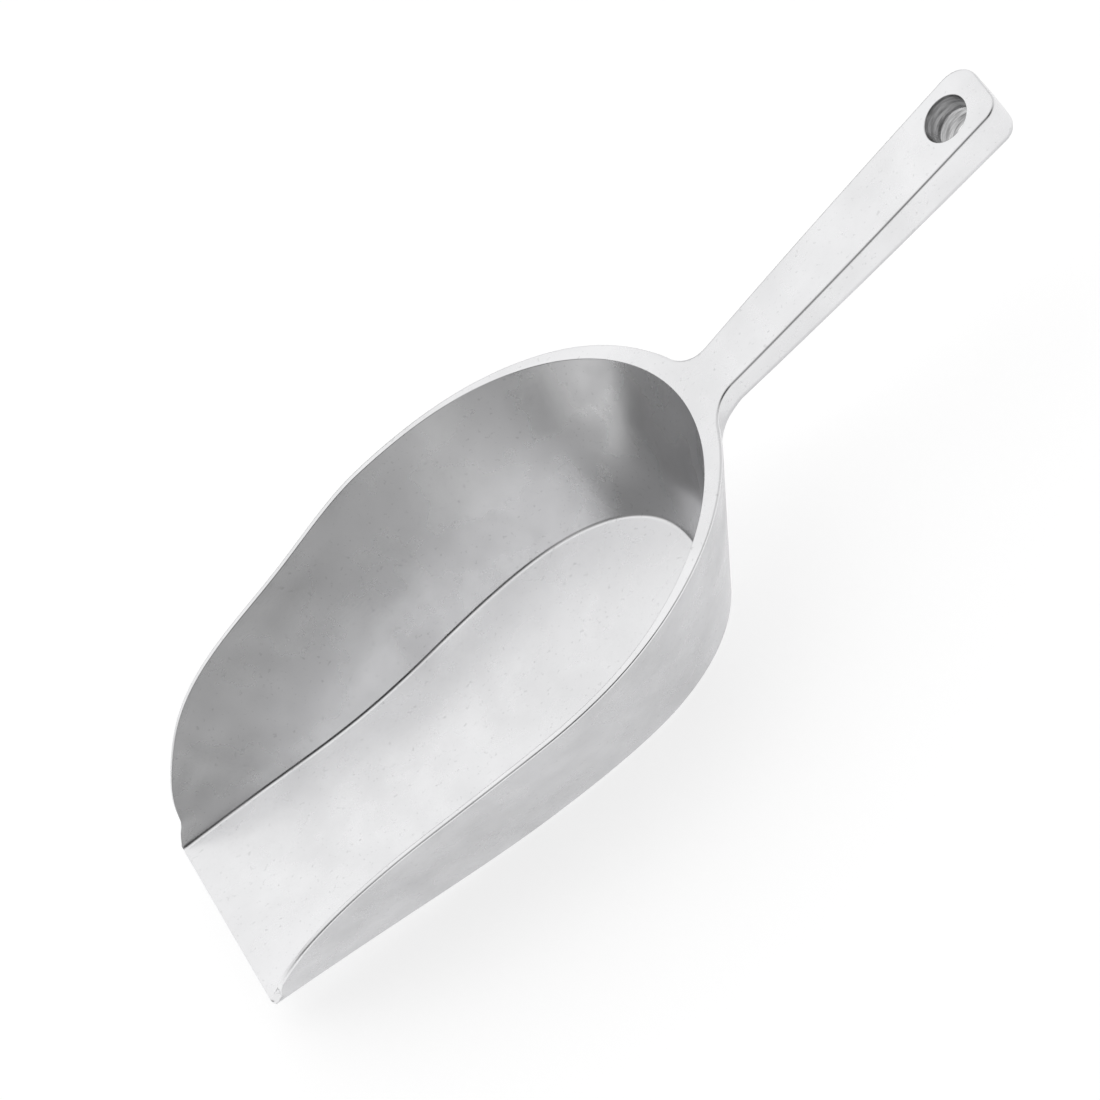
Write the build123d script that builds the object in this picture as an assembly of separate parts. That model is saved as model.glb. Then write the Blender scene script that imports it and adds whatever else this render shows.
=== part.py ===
"""Small flat-bottomed ice scoop, one aluminium casting, divided into its named regions.

Millimetres. +X runs from the open lip to the end of the handle, +Z is up, and the scoop is
symmetric about Y = 0. The origin is at the middle of the scoop's box, on its underside.
The left wall is the one on the left of a user who holds the handle and looks at the lip (-Y).
"""
from build123d import *
import math
import os

# --- driving dimensions, in mm; every X below is measured from the lip until the last step ----
LENGTH = 273.0               # lip to the end of the handle

# bowl, seen from above: nearly straight sides up to NOSE_X, then a rounded back
NOSE_X = 103.0               # where the sides turn into the rounded back
FLOOR_Z = 2.6                # height of the level inner floor
RIM_Z = 42.3                 # height at which the rim outlines below are given
TOOL_Z = 46.0                # height to which the wall surfaces are carried before trimming
INNER_FLOOR = dict(front=25.6, middle=28.8, widest=32.9, back=44.2, power=2.4)
INNER_RIM = dict(front=49.6, middle=51.1, widest=54.8, back=66.4, power=2.0)
OUTER_FLOOR = dict(front=26.3, middle=32.5, widest=36.2, back=47.4, power=2.4)
OUTER_RIM = dict(front=50.8, middle=52.4, widest=56.8, back=72.3, power=2.0)
MIDDLE_X = 55.0              # where the "middle" half-widths are given
FRONT_SLOPE = 0.06           # how fast the half-width grows at the lip
RUN_OUT = 6.0                # how far the wall surfaces run past the lip before trimming
CAVITY_FROM_Z = -4.0         # the cavity's surface starts here, below the whole floor

# bowl, seen from the side
LIP_TOP_Z = 8.5
LIP_THICKNESS = 1.3
FLOOR_FALL = 0.09            # slope of the inner floor at the lip
UNDER_FALL = 0.15            # slope of the underside at the lip
RIM_START = (0.6, 0, 1)      # direction of the rim where it leaves the lip
FLAT_START_X = 78.0          # the underside is flat from here to the back
FLOOR_BEND = ((25.0, 6.4), (50.0, 3.9))      # inner floor where it climbs to the lip
UNDER_BEND = ((25.0, 3.8), (50.0, 1.3))      # underside where it climbs to the lip
RIM_CURVE = ((4.0, 15.4), (10.0, 21.6), (20.0, 29.3), (40.0, 36.3), (65.0, 39.5))
RIM_LEVEL_X = 95.0           # from here back the ground top is straight
RIM_LEVEL_Z = 42.6
RIM_SLOPE = 0.0075
BACK_X = 194.0               # the trimming shapes end here, behind the whole bowl

# handle
NECK_X = 170.0               # the top starts to climb here
HANDLE_PITCH = 9.6           # degrees
BEND_RADIUS = 40.0           # of the top, between rim and handle
NECK_DEPTH = 8.1             # depth of the bar at the neck
END_DEPTH = 12.2             # depth of the bar at its end
NECK_HALF = 7.8              # half-widths of the bar
MID_HALF = 9.5
END_HALF = 10.2
NECK_SPREAD = 0.05           # how fast each side of the bar spreads at the neck
END_SPREAD = 0.012           # and at its end
NECK_STATION = 183.0
MID_STATION = 228.0
NECK_FILLET = 9.0            # plan fillet between bar and rim
END_CORNER = 5.0             # plan radius of the bar's two end corners
UNDER_ROUND = 3.6            # rounding of the two long lower edges
TOP_ROUND = 0.8              # rounding of the top edges
EYE_X = 250.0                # the bar is divided from its eye here
BAR_ROOT_X = 145.0           # the bar's stock starts here, inside the bowl, before trimming
WEB_ROOT = 14.0              # how far the web's stock runs into the wall before trimming

# hanging hole, square to the bar's top
HOLE_X = 260.8
HOLE_MOUTH_R = 6.1
HOLE_LAND_R = 5.5
HOLE_LAND_LENGTH = 4.0

REACH = 200.0                # half size of the trimming blocks, more than the scoop's width
EDGE_BAND = 1.0              # an edge belongs to a surface when its middle is this near it
X_SHIFT = -LENGTH / 2


def nose_point(o, angle):
    """Point of the rounded back; the angle is 90 at the side and 0 at the very back."""
    c, s = math.cos(math.radians(angle)), math.sin(math.radians(angle))
    e = 2.0 / o["power"]
    return NOSE_X + o["back"] * abs(c) ** e, o["widest"] * abs(s) ** e


def outline(o, z):
    """Face bounded by one closed wall outline at height z."""
    front_y = o["front"] - FRONT_SLOPE * RUN_OUT
    side = [(-RUN_OUT, front_y), (MIDDLE_X, o["middle"]), (NOSE_X, o["widest"])]
    nose = [nose_point(o, angle) for angle in range(75, 0, -15)]
    left = side + nose
    points = left + [(NOSE_X + o["back"], 0.0)] + [(x, -y) for x, y in reversed(left)]
    wall = Spline(*[(x, y, z) for x, y in points],
                  tangents=[(1, FRONT_SLOPE, 0), (-1, FRONT_SLOPE, 0)])
    mouth = Line((-RUN_OUT, -front_y, z), (-RUN_OUT, front_y, z))
    return make_face(Wire([wall, mouth]))


def at_height(low, high, z):
    """Outline numbers carried in a straight line from the floor's outline to the rim's."""
    base = 0.0 if low is OUTER_FLOOR else FLOOR_Z
    k = (z - base) / (RIM_Z - base)
    grown = {key: low[key] + k * (high[key] - low[key]) for key in low}
    grown["power"] = low["power"] + min(k, 1.0) * (high["power"] - low["power"])
    return grown


def wall_surface(low, high, z_from):
    """Solid enclosed by a flared wall surface, from z_from up to TOOL_Z."""
    bottom = outline(at_height(low, high, z_from), z_from)
    top = outline(at_height(low, high, TOOL_Z), TOOL_Z)
    return loft([bottom, top], ruled=True)


def side_slab(face):
    """A face drawn in the XZ plane, swept right across the scoop."""
    return extrude(face, amount=REACH, dir=(0, 1, 0), both=True)


def top_z(x):
    """Height of the ground top on its straight stretch over the back of the bowl."""
    return RIM_LEVEL_Z + RIM_SLOPE * (x - RIM_LEVEL_X)


def handle_top_z(x):
    """Height of the bar's top, on its straight climb."""
    return top_z(NECK_X) + math.tan(math.radians(HANDLE_PITCH)) * (x - NECK_X)


def bowl_side_face():
    """Side view of the bowl, from underside to ground top, whose back rises into the bar."""
    lip_low = (0, 0, LIP_TOP_Z - LIP_THICKNESS)
    lip_high = (0, 0, LIP_TOP_Z)
    level = (RIM_LEVEL_X, 0, RIM_LEVEL_Z)
    flat = (FLAT_START_X, 0, 0)
    under = Spline(lip_low, *[(x, 0, z) for x, z in UNDER_BEND], flat,
                   tangents=[(1, 0, -UNDER_FALL), (1, 0, 0)])
    rim = Spline(lip_high, *[(x, 0, z) for x, z in RIM_CURVE], level,
                 tangents=[RIM_START, (1, 0, RIM_SLOPE)])
    bend = (NECK_X, 0, top_z(NECK_X))
    back = (BACK_X, 0, handle_top_z(BACK_X))
    top = FilletPolyline(level, bend, back, radius=BEND_RADIUS)
    rest = Polyline(flat, (BACK_X, 0, 0), back)
    return make_face(Wire([under, *rest.edges(), *top.edges(), rim, Line(lip_high, lip_low)]))


def above_floor_face():
    """Side view of everything above the inner floor."""
    flat = (FLAT_START_X, 0, FLOOR_Z)
    start = (-RUN_OUT, 0, LIP_TOP_Z + FLOOR_FALL * RUN_OUT)
    floor = Spline(start, (0, 0, LIP_TOP_Z), *[(x, 0, z) for x, z in FLOOR_BEND], flat,
                   tangents=[(1, 0, -FLOOR_FALL), (1, 0, 0)])
    rest = Polyline(flat, (BACK_X, 0, FLOOR_Z), (BACK_X, 0, TOOL_Z), (-RUN_OUT, 0, TOOL_Z), start)
    return make_face(Wire([floor, *rest.edges()]))


def bar_plan():
    """Plan of the bar and of the web that spreads from it into the rim."""
    back, widest = OUTER_RIM["back"], OUTER_RIM["widest"]
    # centre of the concave fillet: NECK_FILLET outside both the bar's side and the rim's ellipse
    cy = NECK_HALF + NECK_FILLET
    cx = NOSE_X + (back + NECK_FILLET) * math.sqrt(1 - (cy / (widest + NECK_FILLET)) ** 2)
    rim_turn = math.atan2(cy * (back / widest) ** 2, cx - NOSE_X)
    half_turn = (math.pi / 2 + rim_turn) / 2
    touch_x, touch_y = cx - NECK_FILLET * math.cos(rim_turn), cy - NECK_FILLET * math.sin(rim_turn)
    mid_x, mid_y = cx - NECK_FILLET * math.cos(half_turn), cy - NECK_FILLET * math.sin(half_turn)
    root_x = touch_x - WEB_ROOT
    edges = [Line((LENGTH, END_HALF), (LENGTH, -END_HALF)), Line((root_x, -touch_y), (root_x, touch_y))]
    for side in (1, -1):
        edges += [
            Line((root_x, side * touch_y), (touch_x, side * touch_y)),
            ThreePointArc((touch_x, side * touch_y), (mid_x, side * mid_y), (cx, side * NECK_HALF)),
            Spline((cx, side * NECK_HALF), (MID_STATION, side * MID_HALF), (LENGTH, side * END_HALF),
                   tangents=[(1, side * NECK_SPREAD), (1, side * END_SPREAD)]),
        ]
    face = make_face(Wire(edges))
    corners = face.vertices().filter_by(lambda v: v.X > LENGTH - EDGE_BAND)
    return fillet(corners, END_CORNER)


def bar_depth(x):
    """Depth of the bar, which grows evenly from the neck to the end."""
    along = (x - NECK_STATION) / (LENGTH - NECK_STATION)
    return NECK_DEPTH + along * (END_DEPTH - NECK_DEPTH)


def bar_side_face():
    """Side view of the web and the bar."""
    root = (BAR_ROOT_X, 0, top_z(BAR_ROOT_X))
    bend = (NECK_X, 0, top_z(NECK_X))
    end = (LENGTH, 0, handle_top_z(LENGTH))
    low_end = (LENGTH, 0, end[2] - bar_depth(LENGTH))
    low_root = (BAR_ROOT_X, 0, handle_top_z(BAR_ROOT_X) - bar_depth(BAR_ROOT_X))
    top = FilletPolyline(root, bend, end, radius=BEND_RADIUS)
    rest = Polyline(end, low_end, low_root, root)
    return make_face(Wire([*top.edges(), *rest.edges()]))


def side_edges(bar, low):
    """The bar's long edges round its sides and end, either the upper or the lower ones."""
    def wanted(edge):
        p = edge.center(CenterOf.MASS)
        if p.X < NECK_X:
            return False
        surface = handle_top_z(p.X) - (bar_depth(p.X) if low else 0)
        on_side = abs(p.Y) > NECK_HALF - EDGE_BAND or p.X > LENGTH - END_CORNER
        return on_side and abs(p.Z - surface) < EDGE_BAND
    return bar.edges().filter_by(wanted)


def hanging_hole():
    """Cutter for the hole: a short cylindrical land between two flared mouths."""
    pitch = math.radians(HANDLE_PITCH)
    up = Vector(-math.sin(pitch), 0, math.cos(pitch))
    depth = bar_depth(HOLE_X)
    centre = Vector(HOLE_X, 0, handle_top_z(HOLE_X)) - up * (depth / 2)
    half_land = HOLE_LAND_LENGTH / 2
    flare = (HOLE_MOUTH_R - HOLE_LAND_R) / (depth / 2 - half_land)
    mouth = HOLE_LAND_R + flare * (depth - half_land)
    profile = make_face(Polyline((0, 0, -depth), (mouth, 0, -depth), (HOLE_LAND_R, 0, -half_land),
                                 (HOLE_LAND_R, 0, half_land), (mouth, 0, depth), (0, 0, depth),
                                 close=True))
    cutter = revolve(profile, Axis.Z)
    along = (math.cos(pitch), 0, math.sin(pitch))
    return Plane(origin=centre, x_dir=along, z_dir=up) * cutter


def slice_x(solid, low, high):
    """The part of a solid between two X values."""
    return solid & Pos((low + high) / 2, 0, 0) * Box(high - low, 2 * REACH, 2 * REACH)


def side_of(solid, side):
    """The half of a solid on one side of the middle plane."""
    return solid & Pos(NOSE_X, side * REACH / 2, 0) * Box(2 * REACH, REACH, 2 * REACH)


def build_regions():
    """The casting's regions, which meet face to face."""
    outer = wall_surface(OUTER_FLOOR, OUTER_RIM, 0.0)
    inner = wall_surface(INNER_FLOOR, INNER_RIM, CAVITY_FROM_Z)
    cavity = inner & side_slab(above_floor_face())
    shell = (outer & side_slab(bowl_side_face())) - cavity
    floor = shell & inner
    walls = shell - inner
    sides = slice_x(walls, -RUN_OUT, NOSE_X)

    bar = extrude(bar_plan(), amount=REACH) & side_slab(bar_side_face())
    bar = fillet(side_edges(bar, low=True), UNDER_ROUND)
    bar = fillet(side_edges(bar, low=False), TOP_ROUND)
    bar = bar - outer - hanging_hole()
    return {
        "bowl_floor": floor,
        "left_wall": side_of(sides, -1),
        "right_wall": side_of(sides, 1),
        "back_wall": slice_x(walls, NOSE_X, LENGTH),
        "neck_web": slice_x(bar, NOSE_X, NECK_STATION),
        "handle_bar": slice_x(bar, NECK_STATION, EYE_X),
        "handle_eye": slice_x(bar, EYE_X, LENGTH),
    }


os.makedirs("parts", exist_ok=True)
volume = 0.0
moment = Vector(0, 0, 0)
for name, region in build_regions().items():
    placed = Pos(X_SHIFT, 0, 0) * region
    export_step(placed, os.path.join("parts", name + ".step"))
    volume += placed.volume
    moment += placed.center(CenterOf.MASS) * placed.volume
print("volume in mm3", round(volume), "balance point", moment * (1 / volume))
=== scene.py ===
"""Cast aluminium ice scoop: one continuous visual mesh for the casting, its metal, floor and lights.

The casting's shape is worked out in millimetres, with X measured from the lip, and moved into the
frame (metres, origin at the middle of the underside) when its mesh is made. +X runs from the lip
to the end of the handle, +Z is up.
"""

import math

import bmesh
import bpy
import numpy as np
from mathutils import Matrix, Vector, noise

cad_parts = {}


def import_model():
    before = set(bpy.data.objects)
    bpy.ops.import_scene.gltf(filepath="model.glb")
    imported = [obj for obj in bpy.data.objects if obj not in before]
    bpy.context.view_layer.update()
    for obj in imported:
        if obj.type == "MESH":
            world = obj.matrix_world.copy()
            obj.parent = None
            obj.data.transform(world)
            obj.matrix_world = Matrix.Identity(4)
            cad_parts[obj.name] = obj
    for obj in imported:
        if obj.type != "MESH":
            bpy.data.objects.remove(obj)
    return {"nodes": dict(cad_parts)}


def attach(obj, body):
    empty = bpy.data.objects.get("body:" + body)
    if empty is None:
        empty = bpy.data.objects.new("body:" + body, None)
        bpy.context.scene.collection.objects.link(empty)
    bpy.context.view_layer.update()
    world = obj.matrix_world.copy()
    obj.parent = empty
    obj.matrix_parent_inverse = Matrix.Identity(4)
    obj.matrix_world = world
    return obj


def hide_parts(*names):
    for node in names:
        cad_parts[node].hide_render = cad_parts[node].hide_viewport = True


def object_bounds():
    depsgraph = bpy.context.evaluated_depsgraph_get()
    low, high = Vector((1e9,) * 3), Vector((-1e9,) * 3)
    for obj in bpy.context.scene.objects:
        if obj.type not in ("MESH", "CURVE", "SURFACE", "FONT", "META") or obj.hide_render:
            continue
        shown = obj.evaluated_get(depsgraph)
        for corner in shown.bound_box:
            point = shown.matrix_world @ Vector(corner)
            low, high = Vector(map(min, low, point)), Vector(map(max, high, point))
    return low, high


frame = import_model()
cad_low, cad_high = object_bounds()
MM = 0.001
LENGTH = (cad_high[0] - cad_low[0]) / MM      # lip to the end of the handle

# --- bowl, seen from above ---------------------------------------------------------------------
NOSE_X = 103.0               # where the sides turn into the rounded back
FLOOR_Z = 2.6
RIM_Z = 42.3                 # height at which the rim outlines are given
TOOL_Z = 46.0                # height to which the wall surfaces are carried
INNER_FLOOR = dict(front=25.6, middle=28.8, widest=32.9, back=44.2, power=2.4)
INNER_RIM = dict(front=49.6, middle=51.1, widest=54.8, back=66.4, power=2.0)
OUTER_FLOOR = dict(front=26.3, middle=32.5, widest=36.2, back=47.4, power=2.4)
OUTER_RIM = dict(front=50.8, middle=52.4, widest=56.8, back=72.3, power=2.0)
MIDDLE_X = 55.0
FRONT_SLOPE = 0.06
RUN_OUT = 6.0                # how far the wall surfaces run past the lip
CAVITY_FROM_Z = -4.0         # the inner wall surface starts here

# --- bowl, seen from the side ------------------------------------------------------------------
LIP_TOP_Z = 8.5
LIP_THICKNESS = 1.3
FLAT_START_X = 78.0
FLOOR_BEND = ((25.0, 6.4), (50.0, 3.9))
UNDER_BEND = ((25.0, 3.8), (50.0, 1.3))
RIM_CURVE = ((4.0, 15.4), (10.0, 21.6), (20.0, 29.3), (40.0, 36.3), (65.0, 39.5))
FLOOR_FALL = 0.09
UNDER_FALL = 0.15
RIM_START = (0.6, 1.0)
RIM_LEVEL_X = 95.0
RIM_LEVEL_Z = 42.6
RIM_SLOPE = 0.0075

# --- handle ------------------------------------------------------------------------------------
NECK_X = 170.0
HANDLE_PITCH = math.radians(9.6)
BEND_RADIUS = 40.0
NECK_DEPTH = 8.1
END_DEPTH = 12.2
NECK_HALF = 7.8
MID_HALF = 9.5
END_HALF = 10.2
NECK_SPREAD = 0.05
END_SPREAD = 0.012
NECK_STATION = 183.0
MID_STATION = 228.0
NECK_FILLET = 9.0
END_CORNERS = (7.0, 4.5)     # plan radii of its two end corners, +Y and -Y
HOLE_X = 260.8
HOLE_MOUTH_R = 6.1
HOLE_LAND_R = 5.5
HOLE_LAND_LENGTH = 4.0
HOLE_RIDGE = ((0.0, 0.0), (0.5, 0.02), (0.8, 0.22))   # from mid depth: height, and how far it steps back
HOLE_STEP = 0.28             # of that, beside the ridge
MOUTH_GAP = 0.05             # the mouth's radius is this much less below its rounded edge
HOLE_EDGE_R = 0.45           # rounding of the hole's edges
HOLE_WAVER = 0.06            # unevenness of the as-cast hole

# --- finish of the casting ---------------------------------------------------------------------
CREASE_R = 1.3               # cast fillet between floor and wall
INNER_EDGE_R = 0.35          # inner edge of the ground top
OUTER_EDGE_R = 0.5           # outer edge of the ground top
BAR_EDGE_R = 0.8             # top edges of the bar
HEEL_R = 2.0                 # corner between wall and underside
UNDER_R = 3.6                # lower edges of the bar
LIP_NOSE = 0.35              # how far the lip's edge is rounded forwards
LIP_CORNER_R = 3.0           # plan radius of the lip's two corners
WEB_DROP = 2.5               # how far the fillet under the web reaches down the wall
LIP_CORNER_REACH = 12.0      # how far behind the lip its corners' rounding fades out
INSET = 0.06                 # the lip and the bar's end are kept this far inside the outermost sizes
BAR_TOP_INSET = 0.05         # and the bar's top this far, once it has risen out of the rim
BAR_INSET_REACH = 20.0       # length over which that inset comes in
WALL_WAVER = 0.10            # slow unevenness of the as-cast walls
WAVER_LENGTHS = ((14.0, 1.0), (6.0, 0.5))    # size of its swells, and how strong they are
WALL_RELEASE = 0.83          # share of the neck over which the web lets go of the wall's slant
RISE_RELEASE = 0.6           # share over which its rows climb from the wall's spacing to the bar's
TOP_BULGE_FADE = 1.4         # in neck lengths, how soon the rim's curve fades from the web's top
LOW_BULGE_FADE = 0.8         # and from its lower face
SHARP_DEGREES = 50           # edges that turn more than this stay sharp

# --- how finely the mesh is divided ------------------------------------------------------------
SIDE_COLUMNS = 70
NOSE_COLUMNS = 46            # on each side of the web
WEB_COLUMNS = 16             # across the web, and across every ladder of faces
CREASE_STEPS = 4
EDGE_STEPS = 3
WALL_STEPS = 13
LAND_STEPS = 4
BAR_SIDE_STEPS = 2
BAR_UNDER_STEPS = 5
NECK_STEPS = 14
BAR_STEPS = 34
CORNER_STEPS = 8
HOLE_SEGMENTS = 72
HOLE_EDGE_STEPS = 4
LIP_CROWDING = 1.5           # columns of the side crowd towards the lip by this power
RIM_ROUNDS = 30              # rounds in which a wall line settles on the ground top

# --- studio ------------------------------------------------------------------------------------
LENS = 237.5
CAMERA_PLACE = (0.18517, -1.21939, 1.24825)
CAMERA_RIGHT = (0.7569, -0.3946, -0.5209)
CAMERA_UP = (0.6433, 0.5905, 0.4874)
CAMERA_BACK = (0.1153, -0.7040, 0.7008)
FLOOR_HALF = 3.0
FLOOR_DROP = 0.0002          # the floor lies this far under the casting's flat underside

# The room as the metal reflects it, soft-edged panels laid over one another: middle direction, how
# wide the panel is at full and at no strength (degrees from its middle), and its brightness.
STUDIO_BASE = 0.62
STUDIO = (
    ((-1.0, 0.0, 0.10), 30, 75, 0.22),        # dark end of the room, faced by the lip
    ((0.0, 0.25, 0.97), 10, 50, 0.80),        # overhead
    ((-0.15, 0.75, 0.62), 30, 62, 1.05),      # large white screen behind and above the scoop
    ((0.85, 0.35, 0.25), 20, 50, 0.80),       # screen beyond the handle
    ((-0.1, 1.0, 0.02), 6, 20, 0.12),         # dark floor line behind the scoop
    ((0.12, -0.70, 0.70), 17, 38, 0.03),      # dark gap high in front, where the operator stands
)


# ------------------------------------------------------------------------------------- curves

def spline(points, start, end):
    """Smooth curve through points with given end directions; called with a knot number, whole or not."""
    p = np.array(points, float)
    step = np.linalg.norm(np.diff(p, axis=0), axis=1)
    n = len(p)
    a = np.zeros((n, n))
    b = np.zeros_like(p)
    a[0, 0] = a[-1, -1] = 1.0
    b[0] = np.array(start) / np.linalg.norm(start)
    b[-1] = np.array(end) / np.linalg.norm(end)
    for i in range(1, n - 1):
        a[i, i - 1] = step[i]
        a[i, i] = 2 * (step[i - 1] + step[i])
        a[i, i + 1] = step[i - 1]
        b[i] = 3 * ((p[i] - p[i - 1]) / step[i - 1] * step[i] + (p[i + 1] - p[i]) / step[i] * step[i - 1])
    slope = np.linalg.solve(a, b)

    def at(u):
        i = min(max(int(math.floor(u)), 0), n - 2)
        t = u - i
        h = step[i]
        return (p[i] * (1 + 2 * t) * (1 - t) ** 2 + slope[i] * h * t * (1 - t) ** 2
                + p[i + 1] * t * t * (3 - 2 * t) + slope[i + 1] * h * t * t * (t - 1))
    return at


def as_function(curve, knots, samples=400):
    """A spline that never turns back in X, as a function from X to its other value."""
    dense = np.array([curve(u) for u in np.linspace(0, knots, samples)])
    return lambda x: float(np.interp(x, dense[:, 0], dense[:, 1]))


def top_z(x):
    return RIM_LEVEL_Z + RIM_SLOPE * (x - RIM_LEVEL_X)


_rim = as_function(spline([(0, LIP_TOP_Z), *RIM_CURVE, (RIM_LEVEL_X, RIM_LEVEL_Z)],
                          RIM_START, (1, RIM_SLOPE)), len(RIM_CURVE) + 1)
_floor = as_function(spline([(0, LIP_TOP_Z), *FLOOR_BEND, (FLAT_START_X, FLOOR_Z)],
                            (1, -FLOOR_FALL), (1, 0)), len(FLOOR_BEND) + 1)
_under = as_function(spline([(0, LIP_TOP_Z - LIP_THICKNESS), *UNDER_BEND, (FLAT_START_X, 0)],
                            (1, -UNDER_FALL), (1, 0)), len(UNDER_BEND) + 1)


def rim_z(x):
    """Height of the ground top of the wall."""
    return _rim(x) if x < RIM_LEVEL_X else handle_top_z(x)


def floor_z(x):
    return _floor(x) if x < FLAT_START_X else FLOOR_Z


def under_z(x):
    return _under(x) if x < FLAT_START_X else 0.0


def handle_top_z(x):
    """Height of the bar's top, with the bend between the rim and the bar."""
    low, high = math.atan(RIM_SLOPE), HANDLE_PITCH
    reach = BEND_RADIUS * math.tan((high - low) / 2)
    start, end = NECK_X - reach, NECK_X + reach
    if x <= start:
        return top_z(x)
    if x >= end:
        return top_z(NECK_X) + math.tan(high) * (x - NECK_X)
    centre_x = start - BEND_RADIUS * math.sin(low)
    centre_z = top_z(start) + BEND_RADIUS * math.cos(low)
    return centre_z - math.sqrt(BEND_RADIUS ** 2 - (x - centre_x) ** 2)


def bar_depth(x):
    return NECK_DEPTH + (x - NECK_STATION) / (LENGTH - NECK_STATION) * (END_DEPTH - NECK_DEPTH)


# ---------------------------------------------------------------------------------- wall surfaces

KNOT_DEGREES = 15
NOSE_ANGLES = (75, 60, 45, 30, 15, 0)        # knots of the rounded back, down to its very back
NOSE_KNOT = 2                                # knot where the back starts
BACK_KNOT = NOSE_KNOT + len(NOSE_ANGLES)


def nose_point(o, angle):
    c, s = math.cos(math.radians(angle)), math.sin(math.radians(angle))
    e = 2.0 / o["power"]
    return NOSE_X + o["back"] * abs(c) ** e, math.copysign(o["widest"] * abs(s) ** e, angle)


def outline(o):
    """Half of a wall outline, from the run-out in front to the very back, as a spline."""
    side = [(-RUN_OUT, o["front"] - FRONT_SLOPE * RUN_OUT), (MIDDLE_X, o["middle"]), (NOSE_X, o["widest"])]
    return spline(side + [nose_point(o, a) for a in NOSE_ANGLES], (1, FRONT_SLOPE), (0, -1))


def at_height(low, high, z):
    """Outline numbers carried in a straight line from the floor's outline to the rim's."""
    base = 0.0 if low is OUTER_FLOOR else FLOOR_Z
    k = (z - base) / (RIM_Z - base)
    grown = {key: low[key] + k * (high[key] - low[key]) for key in low}
    grown["power"] = low["power"] + min(k, 1.0) * (high["power"] - low["power"])
    return grown


class Wall:
    """A flared wall surface: straight lines between a low and a high outline."""

    def __init__(self, low, high, z_from):
        self.z = (z_from, TOOL_Z)
        self.curves = [outline(at_height(low, high, z)) for z in self.z]
        self.knots = []
        for curve in self.curves:
            u = np.linspace(0, NOSE_KNOT, 300)
            self.knots.append((u, np.array([curve(v)[0] for v in u])))

    def line(self, column):
        """The wall's straight line at a column, as its ends at the two heights, on the +Y side."""
        ends = []
        for curve, (u, x), z in zip(self.curves, self.knots, self.z):
            knot = float(np.interp(column.x, x, u)) if column.x is not None else column.knot
            px, py = curve(knot)
            ends.append(np.array([px, py, z]))
        return ends

    def at(self, column, z):
        low, high = self.line(column)
        return low + (high - low) * (z - self.z[0]) / (self.z[1] - self.z[0])

    def top(self, column):
        """Where the line meets the ground top."""
        z = RIM_Z
        for _ in range(RIM_ROUNDS):
            z = rim_z(self.at(column, z)[0])
        return self.at(column, z)


class Column:
    """One line down the bowl: at a fixed X along the sides, at a fixed knot round the back."""

    def __init__(self, x=None, knot=None):
        self.x = x
        self.knot = knot

    def floor_x(self):
        """Where to read the heights of the floor and the underside, which are level round the back."""
        return NOSE_X if self.x is None else self.x


OUTER = Wall(OUTER_FLOOR, OUTER_RIM, 0.0)
INNER = Wall(INNER_FLOOR, INNER_RIM, CAVITY_FROM_Z)


# ------------------------------------------------------------------------------------- profiles

def round_corner(before, corner, after, radius, steps):
    """Points of an arc that rounds a corner, from the first side to the second."""
    a = before - corner
    b = after - corner
    la, lb = np.linalg.norm(a), np.linalg.norm(b)
    a, b = a / la, b / lb
    half = math.acos(max(-1.0, min(1.0, float(a @ b)))) / 2
    reach = min(radius / math.tan(half), 0.45 * la, 0.45 * lb)
    radius = reach * math.tan(half)
    bisector = (a + b) / np.linalg.norm(a + b)
    centre = corner + bisector * radius / math.sin(half)
    start, end = corner + a * reach - centre, corner + b * reach - centre
    turn = math.pi - 2 * half
    points = []
    for i in range(steps + 1):
        t = i / steps
        spoke = start * math.sin((1 - t) * turn) + end * math.sin(t * turn)
        points.append(centre + spoke / math.sin(turn))
    return points


def smooth(t):
    t = min(max(t, 0.0), 1.0)
    return t * t * (3 - 2 * t)


# plan of the web: centre of its concave fillet, and where that touches the rim
_back, _wide = OUTER_RIM["back"], OUTER_RIM["widest"]
FILLET_Y = NECK_HALF + NECK_FILLET
FILLET_X = NOSE_X + (_back + NECK_FILLET) * math.sqrt(1 - (FILLET_Y / (_wide + NECK_FILLET)) ** 2)
RIM_TURN = math.atan2(FILLET_Y * (_back / _wide) ** 2, FILLET_X - NOSE_X)
TOUCH_Y = FILLET_Y - NECK_FILLET * math.sin(RIM_TURN)
WEB_KNOT = BACK_KNOT - math.degrees(math.asin(TOUCH_Y / _wide)) / KNOT_DEGREES
WEB_ROWS = EDGE_STEPS + BAR_SIDE_STEPS + BAR_UNDER_STEPS
ROWS = CREASE_STEPS + WALL_STEPS + EDGE_STEPS


def bar_rows(depth):
    """Section of one side of the bar, from top face to lower face: pairs of inset and depth."""
    rows = []
    for i in range(EDGE_STEPS + 1):
        a = math.pi / 2 * i / EDGE_STEPS
        rows.append((BAR_EDGE_R * (1 - math.sin(a)), BAR_EDGE_R * (1 - math.cos(a))))
    straight = depth - UNDER_R - BAR_EDGE_R
    for i in range(1, BAR_SIDE_STEPS + 1):
        rows.append((0.0, BAR_EDGE_R + straight * i / BAR_SIDE_STEPS))
    for i in range(1, BAR_UNDER_STEPS + 1):
        a = math.pi / 2 * i / BAR_UNDER_STEPS
        rows.append((UNDER_R * (1 - math.cos(a)), depth - UNDER_R + UNDER_R * math.sin(a)))
    return rows


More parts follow.
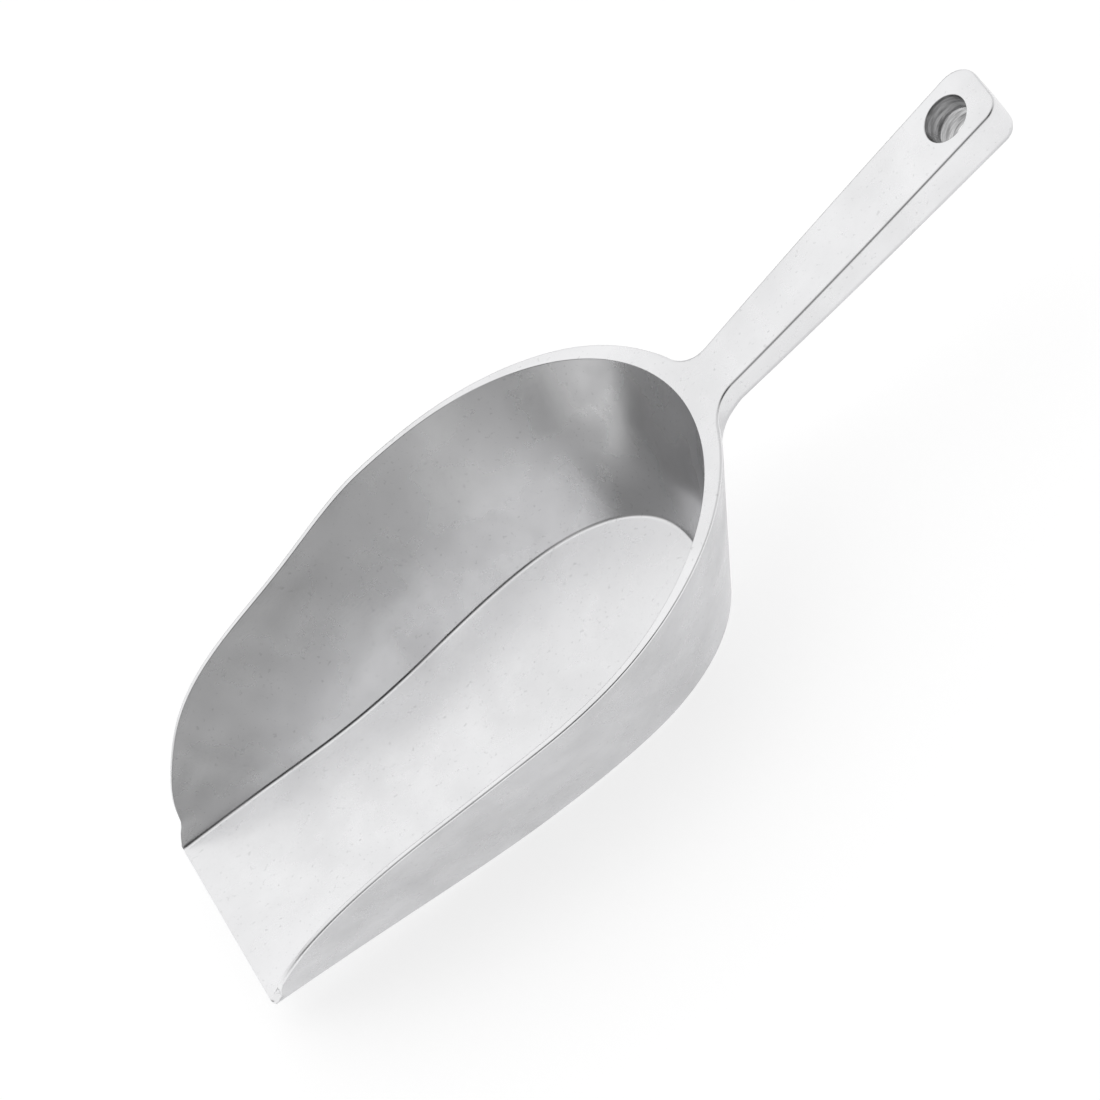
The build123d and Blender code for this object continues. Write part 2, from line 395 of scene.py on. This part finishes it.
def wall_fractions(near_web):
    """How far down the outer wall each row lies, crowded at the web and even elsewhere."""
    even = [i / WALL_STEPS for i in range(WALL_STEPS + 1)]
    height = RIM_Z - BAR_EDGE_R - HEEL_R
    web = [(d * (1 + WEB_DROP / NECK_DEPTH) - BAR_EDGE_R) / height
           for _, d in bar_rows(NECK_DEPTH)[EDGE_STEPS:]]
    rest = WALL_STEPS - len(web) + 1
    web += [web[-1] + (1 - web[-1]) * i / rest for i in range(1, rest + 1)]
    return [near_web * w + (1 - near_web) * e for w, e in zip(web, even)]


def bowl_columns():
    """Columns of the +Y half, from the lip to the very back, with how near each is to the web."""
    columns = []
    for i in range(SIDE_COLUMNS + 1):
        x = LIP_NOSE + (NOSE_X - LIP_NOSE) * (i / SIDE_COLUMNS) ** LIP_CROWDING
        columns.append((Column(x=x), 0.0))
    for i in range(1, NOSE_COLUMNS + 1):
        t = i / NOSE_COLUMNS
        columns.append((Column(knot=NOSE_KNOT + (WEB_KNOT - NOSE_KNOT) * t), smooth((t - 0.5) * 2)))
    for i in range(1, WEB_COLUMNS // 2 + 1):
        columns.append((Column(knot=WEB_KNOT + (BACK_KNOT - WEB_KNOT) * i / (WEB_COLUMNS // 2)), 1.0))
    return columns


def plan_normal(wall, column, z):
    """Outward direction of a wall in plan."""
    if column.x is not None:
        a, b = Column(x=max(column.x - 0.5, 0.0)), Column(x=min(column.x + 0.5, NOSE_X))
    else:
        a, b = Column(knot=column.knot - 0.05), Column(knot=min(column.knot + 0.05, BACK_KNOT))
    if column.knot is not None and column.knot > BACK_KNOT - 0.001:
        return np.array([1.0, 0.0, 0.0])
    d = wall.at(b, z) - wall.at(a, z)
    n = np.array([-d[1], d[0], 0.0])
    return n / np.linalg.norm(n)


def bowl_profile(column, near_web):
    """Closed section of the wall at a column, in three lists that run from the inner floor, up and
    over the ground top, and down to the underside."""
    inner_top = INNER.top(column)
    outer_top = OUTER.top(column)
    inner_low = INNER.at(column, floor_z(column.floor_x()))
    outer_low = OUTER.at(column, under_z(column.floor_x()))
    in_normal = plan_normal(INNER, column, inner_low[2])
    out_normal = plan_normal(OUTER, column, outer_low[2])
    crease = round_corner(inner_low - 10 * in_normal, inner_low, inner_top, CREASE_R, CREASE_STEPS)
    edge = round_corner(inner_low, inner_top, outer_top, INNER_EDGE_R, EDGE_STEPS)
    inner = list(crease)
    for i in range(1, WALL_STEPS):
        inner.append(crease[-1] + (edge[0] - crease[-1]) * i / WALL_STEPS)
    inner += edge
    edge_r = OUTER_EDGE_R + near_web * (BAR_EDGE_R - OUTER_EDGE_R)
    shoulder = round_corner(inner_top, outer_top, outer_low, edge_r, EDGE_STEPS)
    heel = round_corner(outer_top, outer_low, outer_low - 10 * out_normal, HEEL_R, CREASE_STEPS)
    outer = list(shoulder)
    for f in wall_fractions(near_web)[1:-1]:
        outer.append(shoulder[-1] + (heel[0] - shoulder[-1]) * f)
    outer += heel
    land = [inner[-1] + (outer[0] - inner[-1]) * i / LAND_STEPS for i in range(1, LAND_STEPS)]
    return inner, land, outer


# ------------------------------------------------------------------------------------- mesh

class Skin:
    """Points and faces of the casting; points on the middle plane or shared by patches are shared."""

    def __init__(self):
        self.points = []
        self.faces = []

    def add(self, p):
        self.points.append(np.array(p, float))
        return len(self.points) - 1

    def strip(self, a, b, flip=False):
        """Faces between two rows of the same length; a pair of shared ends gives a triangle."""
        if flip:
            a, b = b, a
        for i in range(len(a) - 1):
            face = []
            for v in (a[i], a[i + 1], b[i + 1], b[i]):
                if v not in face:
                    face.append(v)
            if len(face) > 2:
                self.faces.append(face)

    def row(self, first, last, steps, bulge=None):
        """Points in a straight row between two existing ones, pushed out by bulge where given."""
        a, b = self.points[first], self.points[last]
        middle = []
        for i in range(1, steps):
            p = a + (b - a) * i / steps
            if bulge is not None:
                p = p + bulge[i]
            middle.append(self.add(p))
        return [first, *middle, last]


def mirrored(p):
    return np.array([p[0], -p[1], p[2]])


def build_bowl(skin):
    """The bowl, open where the web joins it. Returns the rows of the web's window."""
    half = bowl_columns()
    profiles = [bowl_profile(c, near) for c, near in half]
    columns = []
    for inner, land, outer in profiles:
        columns.append([[skin.add(p) for p in part] for part in (inner, land, outer)])
    for inner, land, outer in reversed(profiles[:-1]):
        columns.append([[skin.add(mirrored(p)) for p in part] for part in (inner, land, outer)])
    whole = [inner + land + outer for inner, land, outer in columns]
    last = len(whole) - 1
    web_start = SIDE_COLUMNS + NOSE_COLUMNS
    web_end = web_start + WEB_COLUMNS
    window_top = ROWS + LAND_STEPS
    window_low = window_top + WEB_ROWS
    for c in range(last):
        a, b = whole[c], whole[c + 1]
        if web_start <= c < web_end:
            skin.strip(a[:window_top + 1], b[:window_top + 1])
            skin.strip(a[window_low:], b[window_low:])
        else:
            skin.strip(a, b)

    # floor and underside: rows across, closed at the back by one strip round the nose
    front_rows = []
    for end, flip in ((0, False), (-1, True)):
        rows = [skin.row(whole[c][end], whole[last - c][end], WEB_COLUMNS) for c in range(web_start + 1)]
        nose = [whole[c][end] for c in range(web_start, web_end + 1)]
        for a, b in zip(rows, rows[1:] + [nose]):
            skin.strip(a, b, flip)
        front_rows.append(rows[0])

    # lip: a rounded nose across the floor's front edge and up both ends of the wall
    def rung(top, low):
        a, b = skin.points[top], skin.points[low]
        ids = [top]
        for i in range(1, LAND_STEPS):
            t = i / LAND_STEPS
            p = a + (b - a) * t
            p[0] -= (LIP_NOSE - INSET) * math.sin(math.pi * t) ** 0.5
            ids.append(skin.add(p))
        return ids + [low]

    lip = [rung(upper, lower) for upper, lower in zip(*front_rows)]
    for a, b in zip(lip, lip[1:]):
        skin.strip(b, a)
    for c, start, flip in ((0, lip[0], True), (last, lip[-1], False)):
        inner, land, outer = columns[c]
        rungs = [start]
        rungs += [rung(inner[j], outer[ROWS - j]) for j in range(1, ROWS)]
        rungs.append([inner[ROWS], *land, outer[0]])
        for a, b in zip(rungs, rungs[1:]):
            skin.strip(a, b, flip)

    left = [whole[web_start][window_top + k] for k in range(WEB_ROWS + 1)]
    right = [whole[web_end][window_top + k] for k in range(WEB_ROWS + 1)]
    top = [whole[c][window_top] for c in range(web_start, web_end + 1)]
    low = [whole[c][window_low] for c in range(web_start, web_end + 1)]
    return left, right, top, low


def bar_plan(corner):
    """Plan of one side of the web and the bar, with its end corner: points, outward normals, and how
    far through the neck each one is (1 beyond it)."""
    stations = []
    for i in range(NECK_STEPS + 1):
        a = RIM_TURN + (math.pi / 2 - RIM_TURN) * i / NECK_STEPS
        n = np.array([math.cos(a), math.sin(a), 0.0])
        stations.append((np.array([FILLET_X, FILLET_Y, 0.0]) - NECK_FILLET * n, n, i / NECK_STEPS))
    side = spline([(FILLET_X, NECK_HALF), (MID_STATION, MID_HALF), (LENGTH, END_HALF)],
                  (1, NECK_SPREAD), (1, END_SPREAD))
    width = as_function(side, 2)
    corner_x = LENGTH - INSET - corner
    for i in range(1, BAR_STEPS + 1):
        x = FILLET_X + (corner_x - FILLET_X) * i / BAR_STEPS
        slope = (width(x + 0.5) - width(x - 0.5)) / 1.0
        n = np.array([-slope, 1.0, 0.0]) / math.hypot(slope, 1.0)
        stations.append((np.array([x, width(x), 0.0]), n, 1.0))
    centre = np.array([corner_x, width(corner_x) - corner, 0.0])
    for i in range(1, CORNER_STEPS + 1):
        a = math.pi / 2 * i / CORNER_STEPS
        n = np.array([math.sin(a), math.cos(a), 0.0])
        stations.append((centre + corner * n, n, 1.0))
    return stations


def hermite_release(value, slope, t, end):
    """Fades value to nothing between t = 0 and t = end, leaving with the given slope."""
    s = min(t / end, 1.0)
    return value * (1 + 2 * s) * (1 - s) ** 2 + slope * end * s * (1 - s) ** 2


def bar_top_z(x):
    """Height of the mesh's bar top, which is a little under the full height."""
    return handle_top_z(x) - BAR_TOP_INSET * smooth((x - NECK_X) / BAR_INSET_REACH)


def bar_point(station, k):
    """Point of row k of the bar's side, before it is drawn onto the wall."""
    p, n, _ = station
    inset, depth = bar_rows(bar_depth(p[0]))[k]
    q = p - n * inset
    q[2] = bar_top_z(q[0]) - depth
    return q


def build_handle(skin, left, right, top, low):
    """The web and the bar: sides that grow out of the wall, ladders of faces above and below."""
    start_points = [skin.points[v] for v in left]
    lean = (OUTER_RIM["back"] - OUTER_FLOOR["back"]) / RIM_Z
    side_ids = []
    for first, corner, place in ((left, END_CORNERS[0], np.array), (right, END_CORNERS[1], mirrored)):
        stations = bar_plan(corner)
        n0 = stations[0][1]
        ids = [first]
        for station in stations[1:]:
            t = station[2]
            rows = []
            for k in range(WEB_ROWS + 1):
                q = bar_point(station, k)
                if t < 1.0:
                    d = start_points[k] - bar_point(stations[0], k)
                    out = float(d @ n0)
                    rise = 2 * max(-d[2], 0.0) / RISE_RELEASE
                    d_flat = d - n0 * out
                    q = q + station[1] * hermite_release(out, lean * rise, t, WALL_RELEASE)
                    q = q + np.array([d_flat[0], d_flat[1], 0.0]) * (1 - smooth(t / WALL_RELEASE))
                    q[2] += d[2] * max(1 - t / RISE_RELEASE, 0.0) ** 2
                rows.append(skin.add(place(q)))
            ids.append(rows)
        side_ids.append(ids)

    # the bar's end face: upright rows between its two rounded corners
    end_left, end_right = side_ids[0][-1], side_ids[1][-1]
    across = [skin.row(end_left[k], end_right[k], WEB_COLUMNS) for k in range(WEB_ROWS + 1)]
    end_rows = [[across[k][j] for k in range(WEB_ROWS + 1)] for j in range(WEB_COLUMNS + 1)]
    skirt = side_ids[0] + end_rows[1:-1] + side_ids[1][::-1]
    for a, b in zip(skirt, skirt[1:]):
        skin.strip(a, b)

    # top and lower face: rows across, which start as the rim's curve and straighten
    for k, first, fade, flip in ((0, top, TOP_BULGE_FADE, True), (WEB_ROWS, low, LOW_BULGE_FADE, False)):
        a, b = skin.points[first[0]], skin.points[first[-1]]
        bulge = [skin.points[v] - (a + (b - a) * i / WEB_COLUMNS) for i, v in enumerate(first)]
        rows = [first]
        for i in range(1, len(stations)):
            if i == len(stations) - 1:
                rows.append(across[k])
                continue
            left_over = max(1 - (i / NECK_STEPS) / fade, 0.0)
            left_over = left_over if k == 0 else left_over ** 2
            bent = [v * left_over for v in bulge]
            ids = skin.row(side_ids[0][i][k], side_ids[1][i][k], WEB_COLUMNS, bent)
            if k == 0:
                for v in ids[1:-1]:
                    x = skin.points[v][0]
                    skin.points[v][2] = bar_top_z(x)
            rows.append(ids)
        for a, b in zip(rows, rows[1:]):
            skin.strip(a, b, flip)


def finish_points(points):
    """Rounds the lip's corners in plan and adds the casting's slow unevenness."""
    y_max = max(abs(p[1]) for p in points if p[0] < 1.0)
    done = []
    for p in points:
        x, y, z = p
        over = abs(y) - (y_max - LIP_CORNER_R)
        if x < LIP_CORNER_REACH and over > 0:
            over = min(over, LIP_CORNER_R)
            back = LIP_CORNER_R - math.sqrt(LIP_CORNER_R ** 2 - over ** 2)
            x += back * (1 - x / LIP_CORNER_REACH) ** 2
        if x < NOSE_X + OUTER_RIM["back"] - 3 and FLOOR_Z + 2 < z:
            wave = sum(strength * noise.noise(Vector((x, y, z)) / size) for size, strength in WAVER_LENGTHS)
            fade = smooth((z - FLOOR_Z - 2) / 6) * smooth((rim_z(x) - z) / 2) * smooth(x / 15)
            y += math.copysign(WALL_WAVER * wave * fade, y) if abs(y) > 5 else 0.0
        done.append((x, y, z))
    return done


def make_casting():
    skin = Skin()
    window = build_bowl(skin)
    build_handle(skin, *window)
    shift = cad_low[0]
    points = [(x * MM + shift, y * MM, z * MM) for x, y, z in finish_points(skin.points)]
    mesh = bpy.data.meshes.new("casting")
    mesh.from_pydata(points, [], skin.faces)
    mesh.validate()
    bm = bmesh.new()
    bm.from_mesh(mesh)
    bmesh.ops.remove_doubles(bm, verts=bm.verts, dist=0.001 * MM)
    bmesh.ops.recalc_face_normals(bm, faces=bm.faces)
    bm.to_mesh(mesh)
    bm.free()
    piece = bpy.data.objects.new("casting", mesh)
    bpy.context.scene.collection.objects.link(piece)
    return piece


def hole_cutter():
    """Lathed cutter for the hanging hole: a parting ridge at mid depth on a narrow stretch, between two
    flared mouths whose edges are slightly rounded."""
    depth = bar_depth(HOLE_X)
    along = Vector((math.cos(HANDLE_PITCH), 0, math.sin(HANDLE_PITCH)))
    across = Vector((0, 1, 0))
    up = Vector((-math.sin(HANDLE_PITCH), 0, math.cos(HANDLE_PITCH)))
    centre = Vector((HOLE_X, 0, handle_top_z(HOLE_X))) - up * (depth / 2)
    half, land = depth / 2, HOLE_LAND_LENGTH / 2
    edge, mouth = HOLE_EDGE_R, HOLE_MOUTH_R - MOUTH_GAP
    side = [(h, HOLE_LAND_R + step) for h, step in HOLE_RIDGE]
    side += [(land, HOLE_LAND_R + HOLE_STEP), (half - edge, mouth)]
    for i in range(1, HOLE_EDGE_STEPS + 1):
        a = math.pi / 2 * i / HOLE_EDGE_STEPS
        side.append((half - edge + edge * math.sin(a), mouth + edge * (1 - math.cos(a))))
    side.append((half + 1.5, HOLE_MOUTH_R + edge + 0.6))       # clear of the bar's faces
    profile = [(-h, r) for h, r in reversed(side[1:])] + side
    bm = bmesh.new()
    rings = []
    for h, r in profile:
        ring = []
        for s in range(HOLE_SEGMENTS):
            a = 2 * math.pi * s / HOLE_SEGMENTS
            waver = HOLE_WAVER * noise.noise(Vector((2 * math.cos(a), 2 * math.sin(a), h * 0.6)))
            local = Vector(((r + waver) * math.cos(a), (r + waver) * math.sin(a), h))
            p = centre + along * local.x + across * local.y + up * local.z
            ring.append(bm.verts.new((p.x * MM + cad_low[0], p.y * MM, p.z * MM)))
        rings.append(ring)
    for a, b in zip(rings, rings[1:]):
        for s in range(HOLE_SEGMENTS):
            t = (s + 1) % HOLE_SEGMENTS
            bm.faces.new((a[s], a[t], b[t], b[s]))
    bm.faces.new(rings[0][::-1])
    bm.faces.new(rings[-1])
    mesh = bpy.data.meshes.new("hole_cutter")
    bmesh.ops.recalc_face_normals(bm, faces=bm.faces)
    bm.to_mesh(mesh)
    bm.free()
    cutter = bpy.data.objects.new("hole_cutter", mesh)
    bpy.context.scene.collection.objects.link(cutter)
    return cutter


def cut_hole(piece):
    cutter = hole_cutter()
    modifier = piece.modifiers.new("hole", "BOOLEAN")
    modifier.operation = "DIFFERENCE"
    modifier.solver = "EXACT"
    modifier.object = cutter
    bpy.context.view_layer.update()
    graph = bpy.context.evaluated_depsgraph_get()
    cut = bpy.data.meshes.new_from_object(piece.evaluated_get(graph))
    piece.modifiers.clear()
    piece.data = cut
    bpy.data.objects.remove(cutter)


def shade(piece):
    mesh = piece.data
    mesh.polygons.foreach_set("use_smooth", [True] * len(mesh.polygons))
    mesh.set_sharp_from_angle(angle=math.radians(SHARP_DEGREES))
    weighted = piece.modifiers.new("weighted", "WEIGHTED_NORMAL")
    weighted.keep_sharp = True
    weighted.weight = 50


# ------------------------------------------------------------------------------------- material

def aluminium():
    """Ground and polished cast aluminium: soft gloss, faint mottling, fine grain and scratches."""
    mat = bpy.data.materials.new("casting_aluminium")
    mat.use_nodes = True
    nodes, links = mat.node_tree.nodes, mat.node_tree.links
    nodes.clear()
    out = nodes.new("ShaderNodeOutputMaterial")
    bsdf = nodes.new("ShaderNodeBsdfPrincipled")
    bsdf.inputs["Metallic"].default_value = 1.0
    coord = nodes.new("ShaderNodeTexCoord")
    stretched = nodes.new("ShaderNodeMapping")         # scratches run mostly along the scoop
    stretched.inputs["Scale"].default_value = (0.12, 1.0, 1.0)
    stretched.inputs["Rotation"].default_value = (0.0, 0.0, math.radians(8))
    links.new(coord.outputs["Object"], stretched.inputs["Vector"])

    def noise_node(scale, detail, vector=coord.outputs["Object"]):
        node = nodes.new("ShaderNodeTexNoise")
        node.inputs["Scale"].default_value = scale
        node.inputs["Detail"].default_value = detail
        node.inputs["Roughness"].default_value = 0.55
        links.new(vector, node.inputs["Vector"])
        return node.outputs["Fac"]

    def ramp(source, stops):
        node = nodes.new("ShaderNodeValToRGB")
        for element, (place, grey) in zip(node.color_ramp.elements, stops):
            element.position = place
            element.color = (grey, grey, grey * 1.008, 1)
        links.new(source, node.inputs["Fac"])
        return node.outputs["Color"]

    def mix_of(first, second, how="MIX"):
        node = nodes.new("ShaderNodeMix")
        node.data_type = "RGBA"
        node.blend_type = how
        links.new(first, node.inputs[6])
        links.new(second, node.inputs[7])
        return node

    def darkened(first, second, amount):
        """The first colour multiplied by the second, in part."""
        node = mix_of(first, second, "MULTIPLY")
        node.inputs["Factor"].default_value = amount
        return node.outputs[2]

    def where(value, none, full, first, second):
        """The first colour where the value is at none, and the second where it is at full."""
        share = nodes.new("ShaderNodeMapRange")
        share.inputs["From Min"].default_value = none
        share.inputs["From Max"].default_value = full
        links.new(value, share.inputs["Value"])
        node = mix_of(first, second)
        links.new(share.outputs["Result"], node.inputs["Factor"])
        return node.outputs[2]

    def bump(source, strength, distance, after=None):
        node = nodes.new("ShaderNodeBump")
        node.inputs["Strength"].default_value = strength
        node.inputs["Distance"].default_value = distance
        links.new(source, node.inputs["Height"])
        if after is not None:
            links.new(after, node.inputs["Normal"])
        return node.outputs["Normal"]

    mottle = ramp(noise_node(38, 5), [(0.36, 0.765), (0.64, 0.84)])
    specks = ramp(noise_node(900, 2), [(0.27, 0.55), (0.36, 1.0)])
    polished = darkened(mottle, specks, 0.30)

    # painted shade: where the overhanging outside of the wall faces down, its base colour is darkened by a
    # mottled grey
    normal = nodes.new("ShaderNodeSeparateXYZ")
    links.new(nodes.new("ShaderNodeNewGeometry").outputs["Normal"], normal.inputs[0])
    under = ramp(noise_node(55, 4), [(0.35, 0.70), (0.65, 0.80)])
    colour_with_painted_shade = where(normal.outputs["Z"], -0.12, -0.40, polished, darkened(polished, under, 1.0))

    # the inside of the hanging hole: darker base colour, in rings round its axis
    hole = nodes.new("ShaderNodeMapping")
    hole.vector_type = "TEXTURE"
    hole.inputs["Location"].default_value = (HOLE_X * MM + cad_low[0], 0, handle_top_z(HOLE_X) * MM)
    hole.inputs["Rotation"].default_value = (0, -HANDLE_PITCH, 0)
    links.new(coord.outputs["Object"], hole.inputs["Vector"])
    flat = nodes.new("ShaderNodeVectorMath")
    flat.operation = "MULTIPLY"
    flat.inputs[1].default_value = (1, 1, 0)
    links.new(hole.outputs["Vector"], flat.inputs[0])
    radius = nodes.new("ShaderNodeVectorMath")
    radius.operation = "LENGTH"
    links.new(flat.outputs["Vector"], radius.inputs[0])
    rings = nodes.new("ShaderNodeMapping")
    rings.inputs["Scale"].default_value = (0.25, 0.25, 1.6)
    links.new(hole.outputs["Vector"], rings.inputs["Vector"])
    hole_colour = ramp(noise_node(700, 4, rings.outputs["Vector"]), [(0.34, 0.22), (0.66, 0.62)])
    beyond, within = (HOLE_MOUTH_R + 0.25) * MM, (HOLE_MOUTH_R + 0.10) * MM
    links.new(where(radius.outputs["Value"], beyond, within, colour_with_painted_shade, hole_colour), bsdf.inputs["Base Color"])

    satin = ramp(noise_node(70, 5), [(0.32, 0.22), (0.68, 0.33)])
    links.new(satin, bsdf.inputs["Roughness"])
    fine = noise_node(2600, 2, stretched.outputs["Vector"])
    scratches = bump(fine, strength=0.05, distance=0.00004)
    grain = bump(noise_node(1500, 3), strength=0.04, distance=0.00004, after=scratches)
    swell = bump(noise_node(60, 1), strength=0.10, distance=0.0004, after=grain)
    links.new(swell, bsdf.inputs["Normal"])
    links.new(bsdf.outputs["BSDF"], out.inputs["Surface"])
    return mat


# ------------------------------------------------------------------------------------- studio

def camera():
    data = bpy.data.cameras.new("camera")
    data.sensor_width = 36.0
    data.lens = LENS
    data.clip_start = 0.05
    data.clip_end = 20
    cam = bpy.data.objects.new("camera", data)
    turn = Matrix((CAMERA_RIGHT, CAMERA_UP, CAMERA_BACK)).transposed().to_4x4()
    cam.matrix_world = Matrix.Translation(CAMERA_PLACE) @ turn
    bpy.context.scene.collection.objects.link(cam)
    bpy.context.scene.camera = cam


def world():
    """Soft studio round the scoop, painted by world direction."""
    w = bpy.data.worlds.new("studio")
    bpy.context.scene.world = w
    w.use_nodes = True
    nodes, links = w.node_tree.nodes, w.node_tree.links
    direction = nodes.new("ShaderNodeTexCoord").outputs["Generated"]
    level = None
    for centre, full, none, brightness in STUDIO:
        c = Vector(centre).normalized()
        dot = nodes.new("ShaderNodeVectorMath")
        dot.operation = "DOT_PRODUCT"
        dot.inputs[1].default_value = c
        links.new(direction, dot.inputs[0])
        mask = nodes.new("ShaderNodeMapRange")
        mask.interpolation_type = "SMOOTHSTEP"
        mask.inputs["From Min"].default_value = math.cos(math.radians(none))
        mask.inputs["From Max"].default_value = math.cos(math.radians(full))
        links.new(dot.outputs["Value"], mask.inputs["Value"])
        mix = nodes.new("ShaderNodeMix")
        mix.data_type = "FLOAT"
        links.new(mask.outputs["Result"], mix.inputs[0])
        if level is None:
            mix.inputs[2].default_value = STUDIO_BASE
        else:
            links.new(level, mix.inputs[2])
        mix.inputs[3].default_value = brightness
        level = mix.outputs[0]
    background = nodes["Background"]
    background.inputs["Color"].default_value = (1, 1, 1, 1)
    links.new(level, background.inputs["Strength"])


def floor():
    mesh = bpy.data.meshes.new("floor")
    r = FLOOR_HALF
    mesh.from_pydata([(-r, -r, 0), (r, -r, 0), (r, r, 0), (-r, r, 0)], [], [(0, 1, 2, 3)])
    obj = bpy.data.objects.new("floor", mesh)
    bpy.context.scene.collection.objects.link(obj)
    mat = bpy.data.materials.new("floor_pale")
    mat.use_nodes = True
    bsdf = mat.node_tree.nodes["Principled BSDF"]
    bsdf.inputs["Base Color"].default_value = (0.45, 0.45, 0.45, 1)
    bsdf.inputs["Roughness"].default_value = 0.9
    bsdf.inputs["Emission Color"].default_value = (1, 1, 1, 1)
    bsdf.inputs["Emission Strength"].default_value = 0.72
    obj.data.materials.append(mat)
    obj.location.z = -FLOOR_DROP


bpy.context.scene.view_settings.view_transform = "Standard"
camera()
world()
floor()
casting = make_casting()
cut_hole(casting)
shade(casting)
casting.data.materials.clear()
casting.data.materials.append(aluminium())
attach(casting, "root")
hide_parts(*sorted(frame["nodes"]))
